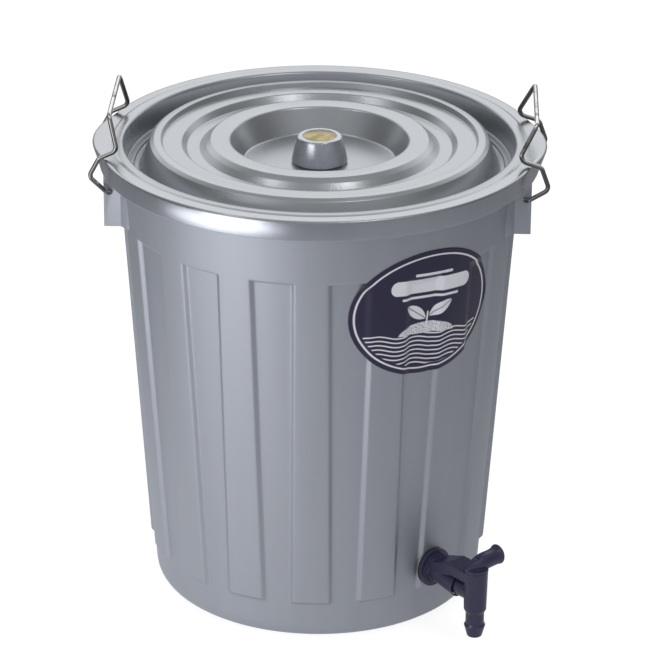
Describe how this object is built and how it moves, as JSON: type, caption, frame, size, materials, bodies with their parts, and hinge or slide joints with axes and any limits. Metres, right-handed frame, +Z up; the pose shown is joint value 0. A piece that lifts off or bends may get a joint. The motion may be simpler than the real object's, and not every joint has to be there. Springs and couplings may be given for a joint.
{
  "type": "wormery",
  "caption": "Round tapered worm composting bin with ribbed walls, a dished lid and knob, wire handles, an inner drain plate on legs and a drain tap low on the side.",
  "frame": {"origin": "middle of the base, on the axis of the bin", "axes": "+Z up, -Y the front between the handles, +X and -X through the wire handles; label and tap are to the right of the front"},
  "size_m": [0.4141, 0.3998, 0.4734],
  "materials": {
    "grey_plastic": "silver-grey, slightly metallic",
    "knob_plastic": "silver-grey, satin",
    "label_print": "printed, satin",
    "steel_wire": "plated wire",
    "brass_cap": "lacquered",
    "plated_steel": "zinc plated",
    "tap_plastic": "dark, moulded",
    "plug_plastic": "smooth",
    "black_rubber": "matt",
    "plate_plastic": "moulded",
    "net_fabric": "fine nylon net"
  },
  "bodies": {
    "bin": {"bin_tub": "grey_plastic", "label": "label_print", "tap_body": "tap_plastic", "tap_outer_washer": "black_rubber", "tap_inner_washer": "black_rubber", "tap_back_nut": "tap_plastic", "plug_clip": "plated_steel"},
    "lid": {"lid": "grey_plastic", "lid_knob": "knob_plastic", "knob_cap": "brass_cap", "knob_bolt": "plated_steel", "knob_washer": "plated_steel", "knob_nut": "plated_steel"},
    "right_handle": {"handle_right": "steel_wire"},
    "left_handle": {"handle_left": "steel_wire"},
    "tap_valve": {"tap_plug": "plug_plastic", "plug_seals": "black_rubber", "tap_lever": "tap_plastic", "lever_screw": "plated_steel"},
    "drain": {"drain_plate": "plate_plastic", "plate_legs": "plate_plastic", "filter_net": "net_fabric"}
  },
  "joints": [
    {"name": "lid_lift", "type": "slide", "parent": "bin", "child": "lid", "axis": [0, 0, 1], "range_m": [0, 0.25]},
    {"name": "right_handle_swing", "type": "hinge", "parent": "bin", "child": "right_handle", "pos_m": [0.1865, 0, 0.399], "axis": [0, 1, 0], "range_deg": [0, 150]},
    {"name": "left_handle_swing", "type": "hinge", "parent": "bin", "child": "left_handle", "pos_m": [-0.1865, 0, 0.399], "axis": [0, -1, 0], "range_deg": [0, 150]},
    {"name": "tap_turn", "type": "hinge", "parent": "bin", "child": "tap_valve", "pos_m": [0.14936, -0.16017, 0.08], "axis": [0, 0, -1], "range_deg": [0, 90]},
    {"name": "plate_lift", "type": "slide", "parent": "bin", "child": "drain", "axis": [0, 0, 1], "range_m": [0, 0.3]}
  ]
}
